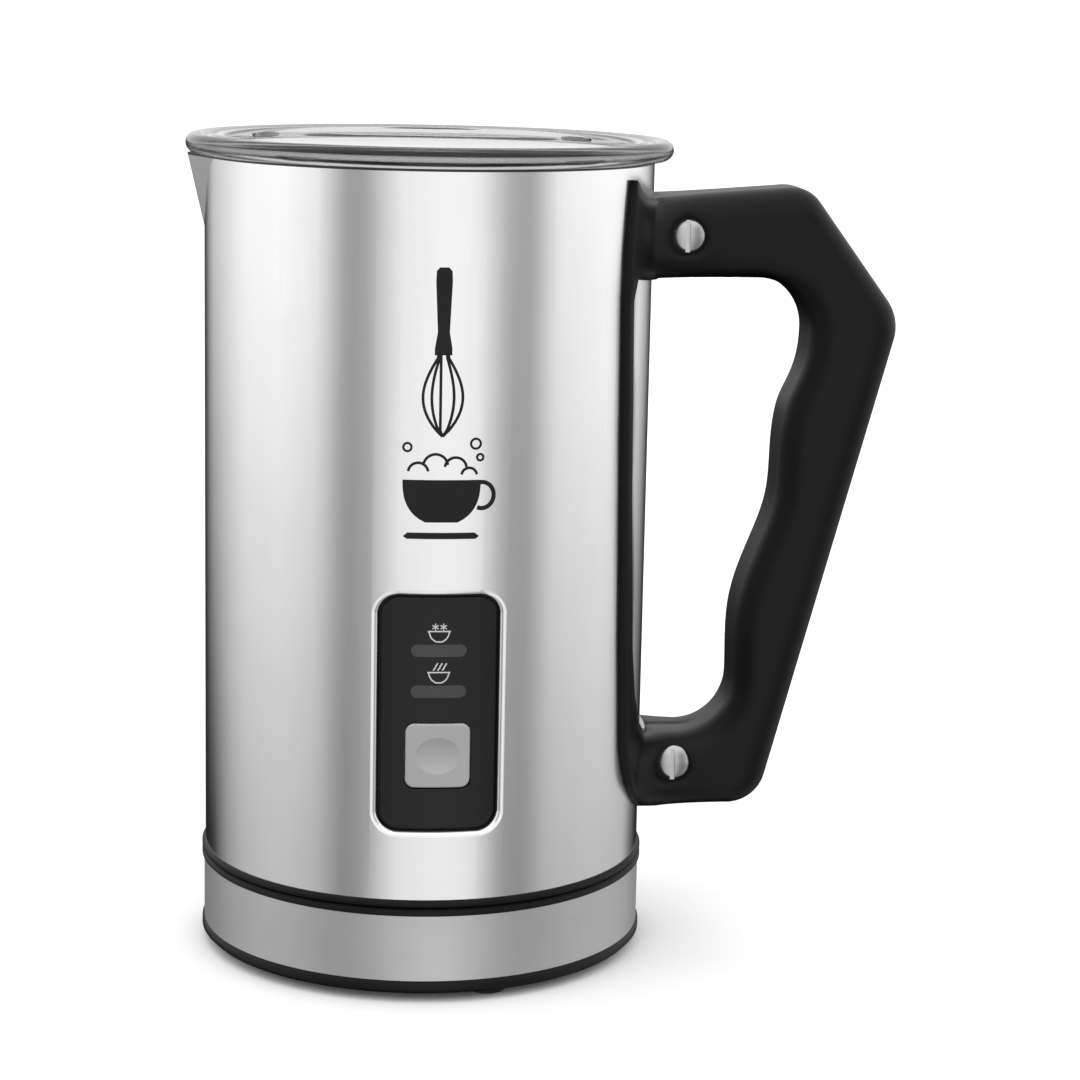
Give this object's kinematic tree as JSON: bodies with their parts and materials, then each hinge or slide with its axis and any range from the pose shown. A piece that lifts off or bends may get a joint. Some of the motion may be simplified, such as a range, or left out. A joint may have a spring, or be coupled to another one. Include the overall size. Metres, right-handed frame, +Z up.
{
  "type": "milk frother",
  "caption": "Electric milk frother: steel jug with spout, clear lid, black side handle and front button panel, standing on a cordless power base.",
  "frame": {"origin": "on the jug's vertical axis, in the plane the feet stand on", "axes": "+Z up along the jug's axis, -Y front with the control panel, +X towards the handle, -X towards the spout"},
  "size_m": [0.1664, 0.1126, 0.1916],
  "materials": {
    "steel_satin": "satin, fine vertical sheen",
    "steel_band": "brushed round the band",
    "bowl_coating": "dark non-stick coating, satin",
    "black_plastic": "satin moulded, fine texture",
    "panel_plastic": "smooth, low gloss",
    "button_plastic": "light grey, satin",
    "light_bar": "smoked translucent",
    "clear_plastic": "clear, polished",
    "seal_rubber": "matt silicone rubber",
    "bright_steel": "polished",
    "plain_steel": "plain",
    "aluminium": "as rolled",
    "brass": "plain",
    "board": "solder-masked",
    "white_plastic": "moulded",
    "foot_rubber": "matt"
  },
  "bodies": {
    "power_base": {"base_band": "steel_band", "base_bottom_cover": "black_plastic", "base_top_cover": "black_plastic", "base_connector": "black_plastic", "base_contacts": "brass", "base_feet": "foot_rubber", "base_screws": "plain_steel", "cord_inlet": "black_plastic"},
    "coupler": {"coupler_carrier": "black_plastic", "coupler_contacts": "brass"},
    "lid": {"lid_disc": "clear_plastic", "lid_seal": "seal_rubber"},
    "rotor": {"motor_shaft": "bright_steel", "magnet_holder": "white_plastic", "drive_magnets": "bright_steel"},
    "whisk_bush": {"whisk_bush": "brass"},
    "whisk": {"whisk_hub": "black_plastic", "whisk_coil": "bright_steel", "whisk_magnets": "bright_steel"},
    "button": {"power_button": "button_plastic", "switch_plunger": "white_plastic"},
    "jug": {"outer_shell": "steel_satin", "inner_bowl": "bowl_coating", "whisk_spindle": "bright_steel", "jug_base_cover": "black_plastic", "jug_base_screws": "plain_steel", "coupler_housing": "black_plastic", "motor": "plain_steel", "motor_bracket": "white_plastic", "motor_screws": "plain_steel", "heater_plate": "aluminium", "heating_tube": "plain_steel", "thermostat": "plain_steel", "temperature_sensor": "plain_steel", "thermal_fuse": "plain_steel", "power_board": "board", "board_relay": "white_plastic", "board_capacitor": "black_plastic", "board_terminals": "white_plastic", "board_screws": "plain_steel", "panel_fascia": "panel_plastic", "panel_seal": "seal_rubber", "hot_light_bar": "light_bar", "cold_light_bar": "light_bar", "control_board": "board", "indicator_leds": "white_plastic", "button_switch": "black_plastic", "panel_screws": "plain_steel", "handle": "black_plastic", "handle_bracket_upper": "plain_steel", "handle_bracket_lower": "plain_steel", "handle_screws": "bright_steel", "handle_sleeve_nuts": "bright_steel"}
  },
  "joints": [
    {"name": "jug_lift", "type": "slide", "parent": "power_base", "child": "coupler", "axis": [0, 0, 1], "range_m": [0, 0.08]},
    {"name": "jug_turn", "type": "hinge", "parent": "coupler", "child": "jug", "pos_m": [0, 0, 0.03], "axis": [0, 0, 1], "continuous": true},
    {"name": "lid_lift", "type": "slide", "parent": "jug", "child": "lid", "axis": [0, 0, 1], "range_m": [0, 0.06]},
    {"name": "rotor_spin", "type": "hinge", "parent": "jug", "child": "rotor", "pos_m": [0, 0, 0.08], "axis": [0, 0, 1], "continuous": true},
    {"name": "whisk_lift", "type": "slide", "parent": "jug", "child": "whisk_bush", "axis": [0, 0, 1], "range_m": [0, 0.07]},
    {"name": "whisk_spin", "type": "hinge", "parent": "whisk_bush", "child": "whisk", "pos_m": [0, 0, 0.09], "axis": [0, 0, 1], "continuous": true},
    {"name": "button_press", "type": "slide", "parent": "jug", "child": "button", "axis": [0, 1, 0], "range_m": [0, 0.0008], "stiffness_N_per_m": 900, "springref_m": -0.0005}
  ],
  "couplings": [
    {"joint": "rotor_spin", "follows": "whisk_spin", "ratio": 1}
  ]
}
